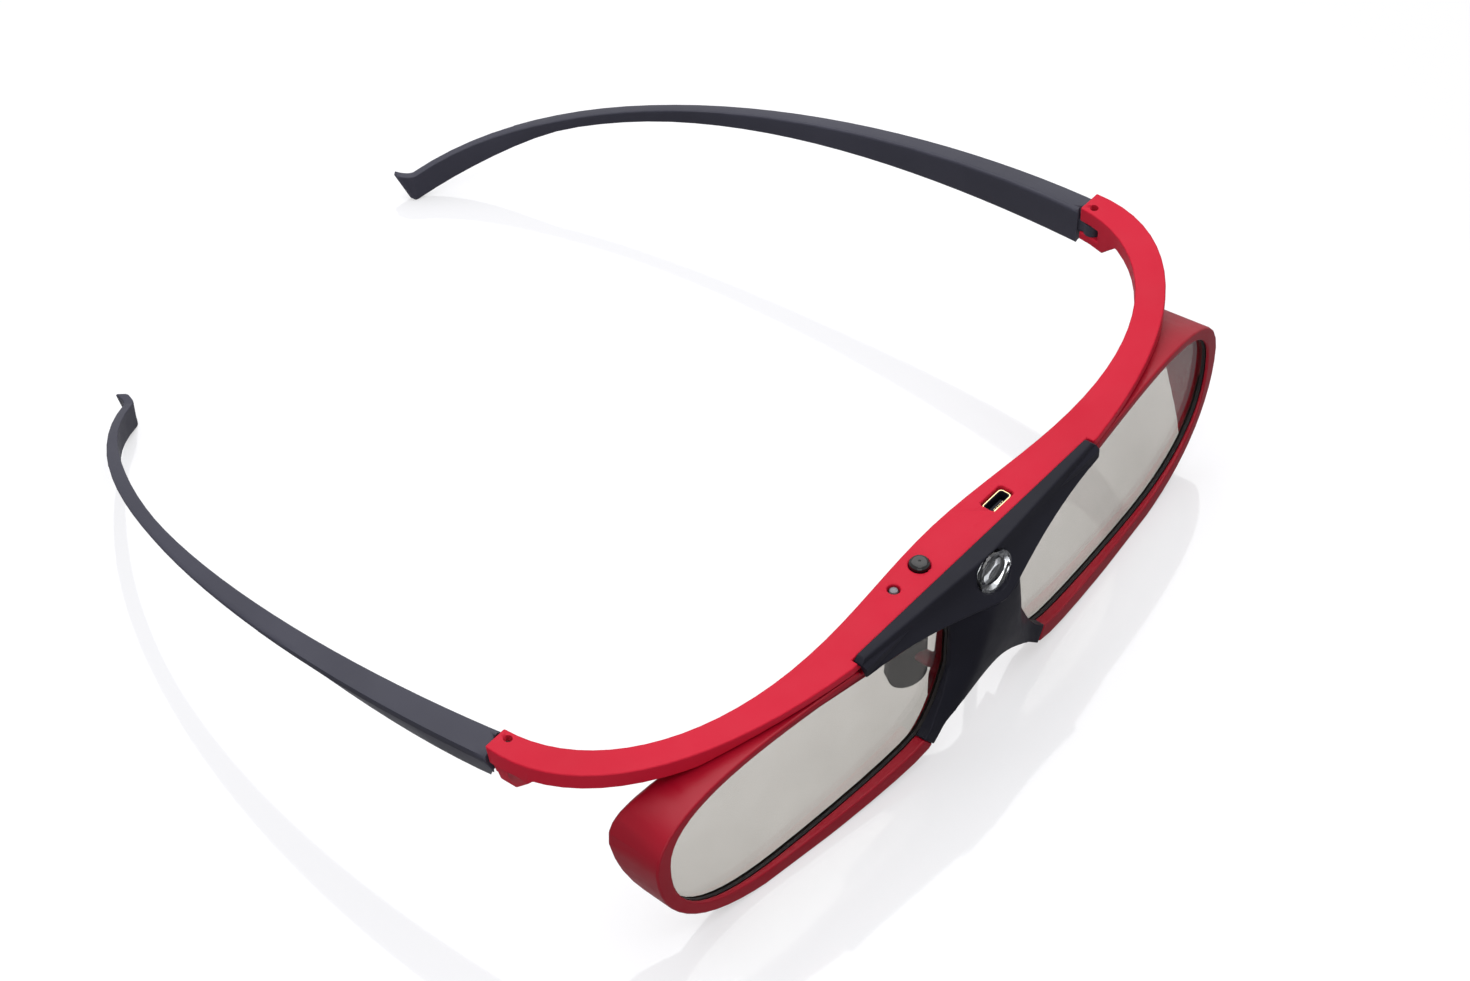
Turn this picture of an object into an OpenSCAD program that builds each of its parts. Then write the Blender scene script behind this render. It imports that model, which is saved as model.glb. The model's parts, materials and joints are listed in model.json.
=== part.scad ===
// Active shutter glasses for stereoscopic viewing, standing open on their rims and temple tips.
// A flat-topped brow housing with swept arms sits on two deep lens rims. A bow-shaped trim covers the
// bridge. The temples fold inwards about vertical pins at the ends of the arms.
// +X is the wearer's left, -Y is the front and +Z is up. Lengths are in millimetres.

/* [Frame] */
// Distance of each hinge pin from the middle
pin_x = 80; // [76:0.5:86]
// Height of the flat top above the table
top_z = 35; // [34.5:0.25:37]
// How far the straight front of the brow bar lies behind the plane of the rims
bar_set = 5.4; // [4.8:0.1:5.8]
// Depth of the flat top at the middle
bar_depth = 9.3; // [8.9:0.1:11]
// Height of the arms
arm_h = 3.2; // [2.8:0.1:3.6]
// Width of the hinge blocks
block_w = 4.9; // [4.6:0.1:5.6]
// Height of the hinge blocks
block_h = 7.2; // [6.8:0.1:7.6]

/* [Lenses] */
// How far the plane of the rims, carried to the middle, lies ahead of the hinge pins
lens_reach = 38.7; // [36:0.1:42]
// Angle by which each lens wraps back towards the temple
wrap = 7; // [6:0.25:8]
// Angle between the lens and the front of its rim, which is thickest beside the nose
seat_turn = 1.5; // [1:0.25:2]
// Angle by which the lenses lean back at the top
tilt = 2; // [1:0.25:3]
// Thickness of a shutter lens
lens_t = 1.4; // [1:0.1:1.6]
// How far the lens reaches under the lip of its rim
lens_lap = 0.7; // [0.5:0.05:0.9]
// Thickness of the lip in front of the lens, at its outer end
lip_t = 0.6; // [0.5:0.05:0.8]
// Thickness of the gasket between lip and lens
gasket_t = 0.6; // [0.4:0.05:0.8]
// Wall of the rim above the lens
rim_top = 1.6; // [1.4:0.05:1.8]
// Wall of the rim below the lens
rim_low = 3.1; // [2.7:0.1:3.6]
// Wall of the rim at its outer end
rim_end = 3.2; // [2.6:0.1:3.8]
// Wall of the rim beside the nose
rim_nose = 2.6; // [2.2:0.1:3]

/* [Bridge] */
// Half the length of the bow-shaped trim
trim_half = 32.4; // [31.5:0.1:33.2]
// How far the beak of the trim stands ahead of the plane of the rims
trim_ahead = 1; // [0.6:0.1:1.4]
// How far the trim stands above the flat top
trim_proud = 0.6; // [0.3:0.05:0.9]
// Height of the nose arch at the middle
arch_z = 12.8; // [11.8:0.2:13.8]
// Width of the infrared window
window_w = 8.5; // [7:0.1:9]
// Height of the infrared window
window_h = 6.6; // [5.6:0.1:6.8]
// Length of a nose pad
pad_len = 14; // [11:0.5:15]
// Width of a nose pad
pad_w = 7; // [6:0.2:7.4]

/* [Hinges and temples] */
// Diameter of the hinge pins
pin_d = 1.5; // [1.2:0.05:1.7]
// Thickness of the tongue of a temple
tongue_t = 2.3; // [1.9:0.1:2.5]
// How far the temple tips lie behind the hinge pins
temple_reach = 119.2; // [110:0.2:130]
// How far the temples draw in at the tips
temple_draw = 41.4; // [36:0.2:46]
// Width of a temple at the hinge
temple_w = 5.7; // [5:0.1:5.9]
// Width of a temple towards the tip
tip_w = 2.5; // [2.2:0.1:3.2]
// Height of a temple at the hinge
temple_h = 7.2; // [6.4:0.1:7.4]
// Height of a temple at its waist
waist_h = 2.3; // [2:0.1:3]
// Height of the flared tip
tip_h = 5.2; // [4.4:0.1:5.8]
// How far the top of the tip runs on beyond its foot
tip_rake = 2.7; // [2:0.1:3.4]
// How far the top of the tip curls outwards
tip_flare = 1.9; // [1.2:0.1:2.4]

/* [Controls] */
// Diameter of the power button
button_d = 3.6; // [3:0.1:3.7]
// How far the button stands above the flat top
button_proud = 1; // [0.6:0.1:1.4]
// Travel of the power button
button_travel = 0.4; // [0.2:0.05:0.5]
// Diameter of the status light
light_d = 2.1; // [1.6:0.1:2.6]
// Width of the cut-out for the charging socket
port_w = 6; // [5.6:0.1:6.6]
// Depth of the cut-out for the charging socket
port_d = 2.9; // [2.6:0.1:3]

/* [Hidden] */
$fn = 48;

// Colours of the mouldings
red = [0.84, 0.16, 0.24];
deep_red = [0.68, 0.10, 0.17];
charcoal = [0.18, 0.18, 0.2];
black = [0.08, 0.08, 0.09];
steel = [0.72, 0.72, 0.74];
gold = [0.85, 0.66, 0.3];

// Clearances
seam = 0.25;
touch = 0.02;
slide_gap = 0.05;
eps = 0.01;
far = 60;

// A cubic curve through p[0] and p[3], without its last point
function curve(p, n) = [
    for (i = [0 : n - 1])
        let (t = i / n, s = 1 - t)
        s * s * s * p[0] + 3 * s * s * t * p[1] + 3 * s * t * t * p[2] + t * t * t * p[3]
];
function backwards(pts) = [for (i = [len(pts) - 1 : -1 : 0]) pts[i]];
function flipped(pts) = [for (i = [len(pts) - 1 : -1 : 0]) [-pts[i][0], pts[i][1]]];
function unit(v) = v / norm(v);
function smooth(t) = let (c = max(0, min(1, t))) c * c * (3 - 2 * c);
function mix(a, b, t) = a + (b - a) * t;
// The outward direction at a point of a clockwise outline
function outward(pts, i) =
    let (n = len(pts), t = unit(pts[(i + 1) % n] - pts[(i + n - 1) % n]))
    [-t[1], t[0]];
function grown(pts, r) = [for (i = [0 : len(pts) - 1]) pts[i] + r * outward(pts, i)];
function ellipse(w, h, n) = [for (i = [0 : n - 1]) [w / 2 * cos(360 * i / n), h / 2 * sin(360 * i / n)]];

// How far the brow bar and the trim lie ahead of the hinge pins
bar_reach = lens_reach - bar_set;
trim_reach = lens_reach + trim_ahead;

// Lens opening, in the plane of the lens: across, up
rest_cut = 0.25;
lens_out = pin_x - 4.8;
lens_top = top_z - 3.2;
lens_mid = 45.6;
nose_top = [9.4, lens_top - 7.8];
nose_low = [9.6, rim_low + 14.4];
foot_out = [16.8, rim_low + 2.9];
trim_stop = [trim_half - 1.4, lens_top - 0.2];
lens_side = [lens_out, rim_low + 17.4];
foot_pts = curve([foot_out, foot_out + [-3.2, 1.6], nose_low + [1.8, -5.3], nose_low], 8);
nose_pts = concat(
    [nose_low],
    curve([nose_top, nose_top + [0.2, 6.2], trim_stop - [18, 0.4], trim_stop], 12)
);
lens_pts = concat(
    foot_pts,
    nose_pts,
    curve([trim_stop, trim_stop + [5, 0.15], [lens_mid - 6, lens_top], [lens_mid, lens_top]], 3),
    curve([[lens_mid, lens_top], [lens_out - 13, lens_top], lens_side + [0, 9.4], lens_side], 14),
    curve([lens_side, lens_side - [0, 12], [lens_out - 9.2, rim_low], [lens_mid + 4.4, rim_low]], 14),
    curve([[lens_mid + 4.4, rim_low], [36, rim_low], foot_out + [4, -1.8], foot_out], 6)
);
// Thinner at the lower outer corner
rim_slim = 1.6;
function rim_wall(n) = rim_top * pow(max(n[1], 0), 2) + rim_low * pow(max(-n[1], 0), 2)
    + rim_end * pow(max(n[0], 0), 2) + rim_nose * pow(max(-n[0], 0), 2)
    - rim_slim * max(-n[1], 0) * max(n[0], 0);
function rim_pts(gap) = [
    for (i = [0 : len(lens_pts) - 1])
        let (n = outward(lens_pts, i))
        lens_pts[i] + (rim_wall(n) + gap) * n
];

// The lens seat meets the front of the rim near its outer end
seat_reach = lens_reach - lens_out * (tan(wrap) - tan(wrap - seat_turn));

// Depths behind the plane of the seat
lens_front = lip_t + gasket_t;
lens_back = lens_front + lens_t;
lens_room = 0.3;
rim_depth = lens_back + 0.2;
cup_depth = 14;

// Side view of the deep back edge of the rims: y, z
cup_back = 20.4 - lens_reach;
cup_heel = [cup_back, top_z - 17];
cup_toe = [cup_back - 13.2, rim_low - 0.1];
cup_edge = concat(
    curve([[cup_back - 7.1, top_z - 1], [cup_back - 2.2, top_z - 5], cup_heel + [3.1, 7], cup_heel], 10),
    curve([cup_heel, cup_heel - [1.8, 6.2], cup_toe + [7.5, 5], cup_toe], 8)
);
// Top view of the back of the rims under the brow bar: x, y
cup_top = [
    [28, 1.4 - bar_reach], [pin_x - 36, 4.9 - bar_reach], [pin_x - 22, 9.1 - bar_reach],
    [pin_x - 14, 12.8 - bar_reach], [pin_x - 8, 19.3 - bar_reach]
];

// Brow bar and arms seen from above, right half from the middle of the front
bar_front = -bar_reach;
bar_back = bar_front + bar_depth;
block_in = pin_x - 1.4;
block_out = block_in + block_w;
seam_y = 1.9;
bar_turn = trim_half + 1.5;
bar_waist = [bar_turn + 2.1, bar_back - 1.9];
bar_half = concat(
    [[bar_turn, bar_front]],
    backwards(curve([[block_out, seam_y], [pin_x + 5.4, -15.5], [pin_x - 12.8, bar_front + 4.1],
        [bar_turn, bar_front]], 18)),
    curve([[block_in, seam_y], [pin_x - 1.6, -13.3], [pin_x - 17.2, bar_back - 1.4],
        bar_waist], 18),
    curve([bar_waist, bar_waist - [12, 0.3], [12, bar_back], [0, bar_back]], 8)
);
bar_pts = concat(bar_half, [[0, bar_back]], flipped(bar_half));

// Box behind the bridge that holds the electronics
top_wall = 1.4;
box_half = 24;
box_front = bar_front + 2.9;
box_wall = 1;
cave_half = box_half - 1.2;
cave_front = box_front + box_wall;
cave_back = bar_back - 2.2;
cave_y = (cave_front + cave_back) / 2;
cave_w = cave_back - cave_front;
cave_top = top_z - top_wall;
floor_top = top_z - 7.5;
floor_t = 1.4;
boss_x = cave_half - 2;
boss_r = 1.7;
screw_r = 0.6;
head_r = 1.3;
head_h = 0.7;
screw_grip = 4;
screw_tip = 0.4;
screw_room = 0.15;

// Boards and cells inside the box
board_t = 0.8;
board_top = top_z - 4.1;
board_half = boss_x - 2.2;
board_w = cave_w - 0.2;
post_x = board_half - 3.2;
post_r = 0.9;
cell_half = post_x - 2.6;
cell_w = cave_w - 0.3;
cell_room = 0.3;
lead_x = board_half - 1.4;
lead_w = 2.4;
lead_t = 0.15;
lead_drop = 1.2;
lead_room = 0.2;

// Places on the flat top
button_x = -8.7;
light_x = -15.7;
port_x = 11.6;
port_y = cave_y - 0.8;
port_round = 0.6;
shell_w = port_w - 0.4;
shell_d = port_d - 0.4;
shell_wall = 0.25;
shell_round = port_round + 0.2;
shell_sunk = 0.6;
collar_low = cave_top - 0.45;
collar_top = cave_top - 0.1;
collar_edge = 0.5;
collar_half = cave_w / 2 - 0.1;
switch_half = cave_w / 2 - 0.2;

// Tongue of the socket
tongue_w = shell_w - shell_d;
tongue_d = 0.5;
tongue_sunk = 0.8;
contact_t = 0.15;
contact_w = 0.3;

// Outline of the trim seen from the front: x, z
trim_top = top_z + trim_proud;
trim_gap = 0.2;
trim_lap = 1.3;
trim_back = lip_t - 0.15;
trim_wall_y = 4.2 - lens_reach;
flange_t = 1.5;
trim_foot = [14.6, rim_low + 0.4];
trim_half_pts = concat(
    [
        [0, trim_top], [trim_half - 1, trim_top], [trim_half, trim_top - 0.9],
        [trim_half - 0.4, trim_stop[1] + 0.9]
    ],
    backwards(concat(foot_pts, nose_pts)),
    curve([trim_foot, trim_foot + [-3.6, 3.4], [4.4, arch_z], [0, arch_z]], 10)
);
trim_pts = concat(trim_half_pts, [[0, arch_z]], flipped(trim_half_pts));
back_x = nose_top[0] - 1;
bridge_half = nose_low[0] + 3;

// Beak of the trim: its lower front edge from the middle to the end, then a section at each of its points
beak_n = 16;
beak_z = top_z - 7;
beak_mid = [0, -trim_reach, beak_z];
beak_end = [trim_half + 0.1, 4.9 - trim_reach, beak_z + 4.5];
beak_line = concat(
    curve([beak_mid, beak_mid + [4, 0.2, 0.4], [14, 3.6 - trim_reach, beak_z + 3.6], beak_end], beak_n),
    [beak_end]
);
bow_back = trim_lap - bar_reach - trim_gap;
ridge_mid = 3.6;
ridge_end = 1.6;
ridge_drop = 0.5;
lip = 0.3;
// One section at a point of the edge: y, z
function bow_section(p) =
    let (
        ridge = bow_back - mix(ridge_mid, ridge_end, p[0] / beak_end[0]),
        high = trim_top - ridge_drop,
        out = ridge - p[1],
        drop = high - p[2]
    )
    concat(
        [
            [bow_back, trim_top], [ridge + ridge_drop, trim_top],
            [ridge + 0.2 * ridge_drop, trim_top - 0.3 * ridge_drop]
        ],
        curve([
            [ridge, high], [ridge - 0.13 * out, high - 0.31 * drop],
            [ridge - 0.36 * out, high - 0.63 * drop], [p[1], p[2]]
        ], 6),
        [[p[1], p[2]], [p[1] + lip, p[2] - lip], [bow_back, p[2] - lip]]
    );
bow_rings = concat(
    [for (i = [beak_n : -1 : 1]) let (p = beak_line[i]) [for (q = bow_section(p)) [-p[0], q[0], q[1]]]],
    [for (p = beak_line) [for (q = bow_section(p)) [p[0], q[0], q[1]]]]
);

// Saddle of the trim: level sections from the feet up into the beak, and the line of its shoulders: x, z
saddle_low = curve([[1.2 - trim_reach, arch_z + 0.7], [0.6 - trim_reach, arch_z + 4],
    [0.1 - trim_reach, beak_z - 5], [lip - trim_reach, beak_z]], 9);
saddle_line = concat(
    [for (i = [0 : 5]) mix([2.8 - trim_reach, trim_foot[1] - 1], saddle_low[0], i / 6)],
    saddle_low,
    [[lip - trim_reach, beak_z], [2.7 - trim_reach, beak_z + 2.2]]
);
shoulder_top = 4;
shoulder_foot = 13.5;
shoulder_r = 0.8;
crown_fall = 0.4;
trim_over = 0.5;
saddle_steps = 12;
function share(v, from, to) = max(0, min(1, (v - from) / (to - from)));
function shoulder_x(z) = mix(shoulder_foot, shoulder_top, sqrt(share(z, trim_foot[1], beak_z)));
function nose_x(z) = z > nose_low[1]
    ? mix(nose_low[0], nose_top[0], share(z, nose_low[1], nose_top[1]))
    : mix(foot_out[0], nose_low[0], smooth(share(z, foot_out[1], nose_low[1])));
function ramp(t) = (t + sqrt(t * t + shoulder_r * shoulder_r)) / 2;
// Right half of a section at a point of the middle line: a crown that turns into the wall beside the lens
function saddle_half(p) =
    let (
        z = p[1],
        x_s = shoulder_x(z),
        end = nose_x(z) + trim_over,
        edge = end * tan(wrap - seat_turn) + z * tan(tilt) - seat_reach,
        crown = p[0] + crown_fall
    )
    [
        for (i = [0 : saddle_steps])
            let (x = end * i / saddle_steps, fall = share(ramp(x - x_s), ramp(-x_s), ramp(end - x_s)))
            [x, mix(mix(p[0], crown, pow(x / end, 2)), edge, fall), z]
    ];
function saddle_section(p) =
    let (half = saddle_half(p), n = len(half), x = half[n - 1][0])
    concat(
        [[x, trim_wall_y + 1, p[1]], [-x, trim_wall_y + 1, p[1]]],
        [for (i = [n - 1 : -1 : 1]) [-half[i][0], half[i][1], half[i][2]]],
        half
    );
saddle_rings = [for (p = saddle_line) saddle_section(p)];

// Infrared window in the sloping front of the trim
window_z = top_z - 2.7;
window_y = 1.9 - lens_reach;
window_lean = 13;
window_t = 1.4;
window_proud = 0.2;
window_ledge = 1;
receiver_half = 1.5;
receiver_low = board_top - 0.7;
receiver_h = 2.8;
receiver_room = 0.3;

// Nose pads behind the bridge
pad_place = [11.2, 11.1 - lens_reach, top_z - 19.4];
pad_turn = 32;
pad_post_x = pad_place[0] - 2;
pad_t = 2;
pad_post_r = 1.3;
pad_post_len = 12;

// Hinges
pin_r = pin_d / 2;
ear_r = 1.8;
ear_round = 2.45;
ear_room = 0.25;
pin_sunk = 1.3;
slot_z = top_z - 4.25;
slot_h = tongue_t + 0.2;
seam_slant = 0.3;
seam_gap = 0.35;
block_back = -3.5;
block_step = 3.5;
block_lean = 0.17;

// Temples: middle of the top face from the hinge to the tip
temple_rings = 30;
tip_place = [pin_x - temple_draw, temple_reach, tip_h];
temple_line = concat(
    curve([[pin_x + 1.15, 0, top_z - 1.2], [pin_x + 4, 0.37 * temple_reach, top_z - 5.7],
        [pin_x - 7, 0.885 * temple_reach, top_z - 16.6], tip_place], temple_rings),
    [tip_place]
);
waist_at = 0.84;
edge_w = 1.7;
roll_off = 0.9;
function temple_height(f) = f < waist_at
    ? mix(temple_h, waist_h, smooth(f / waist_at))
    : mix(waist_h, tip_h, smooth((f - waist_at) / (1 - waist_at)));
function temple_width(f) = f < waist_at
    ? mix(temple_w, tip_w, min(1, f / 0.72))
    : mix(tip_w, edge_w, smooth((f - waist_at) / (1 - waist_at)));
// Share of the width that is left at the bottom of the wedge-shaped section
function temple_foot(f) = f < waist_at
    ? mix(0.62, 0.3, smooth(f / 0.5))
    : mix(0.3, 0.8, smooth((f - waist_at) / (1 - waist_at)));
// Half the distance by which the top lies outside the foot, at the flared tip
tip_lean = 0.3;
function temple_lean(f) = f < waist_at ? 0 : tip_lean * smooth((f - waist_at) / (1 - waist_at));
// One upright section: across (inwards), up from the top face; the top falls outwards
function temple_section(w, h, foot, lean) =
    let (c = 0.14 * min(w, h), fall = roll_off * w / temple_w / 2, low = w / 2 - foot * w)
    [for (q = [
    [w / 2, fall - c], [w / 2 - 0.3 * c, fall - 0.3 * c], [w / 2 - c, fall],
    [2 * c - w / 2, -fall], [0.4 * c - w / 2, -fall - 0.4 * c], [-w / 2, -fall - 1.6 * c],
    [low, c - h], [low + 0.3 * c, 0.3 * c - h], [low + c, -h],
    [w / 2 - c, -h], [w / 2 - 0.3 * c, 0.3 * c - h], [w / 2, c - h]
    ]) q - [lean * (1 + 2 * q[1] / h), 0]];
function temple_heading(i) =
    let (a = temple_line[max(i - 1, 0)], b = temple_line[min(i + 1, temple_rings)])
    unit([b[0] - a[0], b[1] - a[1]]);
function temple_ring(i) =
    let (p = temple_line[i], f = p[1] / temple_reach, d = temple_heading(i))
    [for (q = temple_section(temple_width(f), temple_height(f), temple_foot(f), temple_lean(f)))
        p + [-d[1] * q[0], d[0] * q[0], q[1]]];
// The end: sections that run on, curl outwards and thicken towards the top, then one drawn in
curl_n = 5;
curl_swell = 0.5;
curl_fall = 0.5;
foot_run = 0.5;
end_round = 0.6;
tip_heading = temple_heading(temple_rings);
// A point at the tip: along the temple, across it inwards, up
function at_tip(along, across, up) = [
    tip_place[0] + tip_heading[0] * along - tip_heading[1] * across,
    tip_place[1] + tip_heading[1] * along + tip_heading[0] * across,
    up
];
function curl_ring(t) = [
    for (q = temple_section(edge_w, tip_h, temple_foot(1), tip_lean))
        let (
            rise = max(0, 1 + q[1] / tip_h),
            across = q[0] * (1 + curl_swell * t * rise) - tip_flare * t * t * rise
        )
        at_tip(t * mix(foot_run, tip_rake, rise), across, tip_h + q[1] - curl_fall * t * rise)
];
end_mid = at_tip((tip_rake + foot_run) / 2 + end_round, -tip_flare / 2, tip_h / 2);
end_ring = [for (p = curl_ring(1)) mix(end_mid, p + end_round * [tip_heading[0], tip_heading[1], 0], 0.8)];
temple_shape = concat(
    [for (i = [0 : temple_rings]) temple_ring(i)],
    [for (k = [1 : curl_n]) curl_ring(k / curl_n)],
    [end_ring]
);

// The part stands with its origin at the middle of its base
mid_y = (max([for (p = concat(curl_ring(1), end_ring)) p[1]]) - trim_reach) / 2;

module placed() {
    translate([0, -mid_y, 0]) children();
}

module both() {
    children();
    mirror([1, 0, 0]) children();
}

module left_side() {
    placed() children();
}

module right_side() {
    placed() mirror([1, 0, 0]) children();
}

// A plate in the plane of the left lens, between two depths
module lens_plate(pts, from, to) {
    translate([0, -seat_reach, -rest_cut])
        rotate([0, 0, wrap - seat_turn])
            rotate([-tilt, 0, 0])
                translate([0, to, 0])
                    rotate([90, 0, 0])
                        linear_extrude(to - from) polygon(pts);
}

// A front view outline carried from front to back
module front_prism(pts, from, to) {
    translate([0, to, 0])
        rotate([90, 0, 0])
            linear_extrude(to - from) polygon(pts);
}

// A side view outline carried across
module side_prism(pts, half) {
    translate([-half, 0, 0])
        rotate([90, 0, 90])
            linear_extrude(2 * half) polygon(pts);
}

// A box between two corners
module block(low, high) {
    translate(low) cube(high - low);
}

module cup_limit(gap) {
    pts = concat([[0, -far], [0, cup_top[0][1] + gap]], [for (p = cup_top) p + [-gap, gap]],
        [[pin_x + 9, cup_top[4][1] + gap], [pin_x + 9, -far]]);
    linear_extrude(far) polygon(pts);
}

// Everything behind the front plane of the left rim
module behind_front() {
    translate([0, -lens_reach, -rest_cut])
        rotate([0, 0, wrap])
            rotate([-tilt, 0, 0])
                block([-far, 0, -far], [2 * far, far, far]);
}

module rim_body() {
    intersection() {
        behind_front();
        union() {
            lens_plate(rim_pts(0), -5, rim_depth);
            intersection() {
                lens_plate(rim_pts(0), -5, cup_depth + 4);
                side_prism(concat([[-far, far]], cup_edge, [cup_toe, [-far, cup_toe[1]]]), 2 * far);
                cup_limit(0);
            }
        }
    }
}

module lens_hole() {
    lens_plate(lens_pts, -6, cup_depth + 6);
    lens_plate(grown(lens_pts, lens_lap + slide_gap), lip_t, cup_depth + 6);
}

module front_frame() {
    bridge_back = box_front - 0.2;
    wall_front = trim_wall_y + trim_gap;
    color(deep_red) placed() difference() {
        union() {
            difference() {
                union() {
                    both() rim_body();
                    intersection() {
                        front_prism(trim_pts, wall_front, bridge_back);
                        block([-nose_low[0], -far, 0], [nose_low[0], 0, cave_top - 0.1]);
                    }
                }
                both() lens_hole();
                both() trim_seat();
                block([-back_x - trim_gap, -far, 0], [back_x + trim_gap, wall_front, trim_top]);
            }
            block([-back_x, bridge_back - 0.5, floor_top - floor_t], [back_x, cave_back, floor_top]);
            block([-box_half, box_front, floor_top - floor_t], [box_half, cave_back, floor_top]);
            both() translate([post_x, cave_y, floor_top - eps])
                cylinder(r = post_r, h = board_top - board_t - floor_top + eps);
            both() pad_post(bridge_back);
        }
        block([-receiver_half - receiver_room, -far, receiver_low - 0.2],
            [receiver_half + receiver_room, box_front, cave_top]);
        both() translate([boss_x, cave_y, floor_top - floor_t - 1]) {
            cylinder(r = screw_r + screw_room, h = floor_t + 2);
            cylinder(r = head_r + screw_room, h = 1 + head_h + touch);
        }
        both() intersection() {
            lens_plate([[0, 0], [0, far], [far, far], [far, 0]], rim_depth, far / 2);
            block([lead_x - lead_w / 2 - lead_room, -far, board_top - lead_drop - lead_room],
                [lead_x + lead_w / 2 + lead_room, box_front, cave_top]);
        }
        both() lens_plate(grown(lens_pts, lens_lap + slide_gap), lip_t, lens_back + lens_room);
        block([-2 * far, -2 * far, -far], [2 * far, far, 0]);
    }
}

// Stub behind the bridge that carries the left nose pad
module pad_post(wall_y) {
    difference() {
        translate([pad_post_x, wall_y - 0.5, pad_place[2]])
            rotate([-90, 0, 0]) cylinder(r = pad_post_r, h = pad_post_len);
        pad_frame() block([-far, 0, -far], [far, far, far]);
    }
}

// Room for the trim in the front of the left rim
module trim_seat() {
    intersection() {
        front_prism(grown(trim_pts, trim_gap), -far, 0);
        lens_plate([[-3, -3], [-3, far], [far, far], [far, -3]], -4, trim_back + trim_gap);
    }
}

module brow_housing() {
    color(red) placed() difference() {
        union() {
            translate([0, 0, top_z - arm_h]) linear_extrude(arm_h) arm_plan();
            intersection() {
                translate([0, 0, floor_top]) linear_extrude(top_z - floor_top) polygon(bar_pts);
                block([-box_half, box_front, 0], [box_half, 0, top_z]);
            }
            both() hinge_block();
        }
        difference() {
            block([-cave_half, cave_front, 0], [cave_half, cave_back, cave_top]);
            both() translate([boss_x, cave_y, 0]) cylinder(r = boss_r, h = top_z);
        }
        both() hinge_cuts();
        both() {
            lens_plate(rim_pts(seam), -5, rim_depth + seam);
            intersection() {
                lens_plate(rim_pts(seam), -5, cup_depth + 6);
                cup_limit(seam);
            }
        }
        block([-bridge_half, -far, 0], [bridge_half, box_front - touch, cave_top]);
        block([-trim_half - trim_gap, -far, trim_top - flange_t - 0.1],
            [trim_half + trim_gap, bar_front + trim_lap, far]);
        block([-receiver_half - receiver_room, box_front - 1, receiver_low - 0.2],
            [receiver_half + receiver_room, cave_front + 1, board_top + 0.3]);
        both() block([lead_x - lead_w / 2 - lead_room, box_front - 1, board_top - lead_room],
            [lead_x + lead_w / 2 + lead_room, cave_front + 1, board_top + 0.4]);
        both() translate([boss_x, cave_y, floor_top - 1])
            cylinder(r = screw_r + slide_gap, h = 1 + screw_grip + screw_tip);
        translate([button_x, cave_y, cave_top - 1]) cylinder(d = button_d + 2 * slide_gap, h = 4);
        translate([light_x, cave_y, cave_top - 1]) cylinder(d = light_d + 2 * slide_gap, h = 4);
        translate([port_x, port_y, board_top - touch])
            linear_extrude(far) rounded(port_w, port_d, port_round);
    }
}

// An outline with round ends
module stadium(w, d) {
    square([w - d, d], center = true);
    for (s = [-1, 1]) translate([s * (w - d) / 2, 0]) circle(d = d);
}

// A rectangle with round corners
module rounded(w, d, r) {
    square([w - 2 * r, d], center = true);
    square([w, d - 2 * r], center = true);
    for (x = [-1, 1]) for (y = [-1, 1])
        translate([x * (w / 2 - r), y * (d / 2 - r)]) circle(r = r);
}

// Brow bar and arms seen from above, rounded about the hinge pins
module arm_plan() {
    difference() {
        polygon(bar_pts);
        both() difference() {
            translate([0, eps]) square([pin_x, far]);
            translate([pin_x, 0]) circle(r = ear_round);
        }
    }
}

// Lower part of the forked end of the left arm, whose outer side leans in
module hinge_block() {
    low = top_z - block_h;
    high = top_z - arm_h;
    intersection() {
        translate([0, 0, low]) linear_extrude(high + 1 - low) arm_plan();
        side_prism([
            [block_back - block_step * (1 + 1 / (high - low)), high + 1], [block_back, low],
            [far, low], [far, high + 1]
        ], 2 * far);
        translate([0, far, 0]) rotate([90, 0, 0]) linear_extrude(2 * far) polygon([
            [pin_x - far, 0], [block_out - block_lean * block_h, low],
            [block_out + eps, top_z], [pin_x - far, top_z]
        ]);
    }
}

// Slot for the tongue of the left temple, bore for its pin and slanting seam
module hinge_cuts() {
    low = top_z - block_h;
    block([block_in - 3, -ear_r - 0.4, slot_z - slot_h / 2], [block_out + 3, far, slot_z + slot_h / 2]);
    translate([pin_x, 0, low - 1]) cylinder(r = pin_r + touch, h = block_h + 2);
    intersection() {
        side_prism([
            [seam_y, top_z], [seam_y - seam_slant * far, top_z - far],
            [far, top_z - far], [far, top_z]
        ], 2 * far);
        block([pin_x, -far, 0], [pin_x + far, far, top_z + 1]);
    }
}

module hinge_pin() {
    low = top_z - block_h + 0.2;
    color(steel) translate([pin_x, 0, low]) cylinder(r = pin_r, h = block_h - pin_sunk - 0.2);
}

module temple() {
    shoulder = seam_y + seam_gap;
    color(charcoal) difference() {
        union() {
            difference() {
                loft(temple_shape);
                side_prism([
                    [-far, far], [shoulder + seam_slant * (far - top_z), far],
                    [shoulder - seam_slant * top_z, 0], [-far, 0]
                ], 2 * far);
                translate([pin_x, 0, 0]) cylinder(r = ear_round + ear_room, h = far);
            }
            translate([0, 0, slot_z - tongue_t / 2]) linear_extrude(tongue_t) {
                translate([pin_x, 0]) circle(r = ear_r - 0.15);
                translate([pin_x - ear_r + 0.6, 0]) square([block_w - 1.4, 6]);
            }
        }
        translate([pin_x, 0, 0]) cylinder(r = pin_r + slide_gap, h = far);
    }
}

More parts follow.
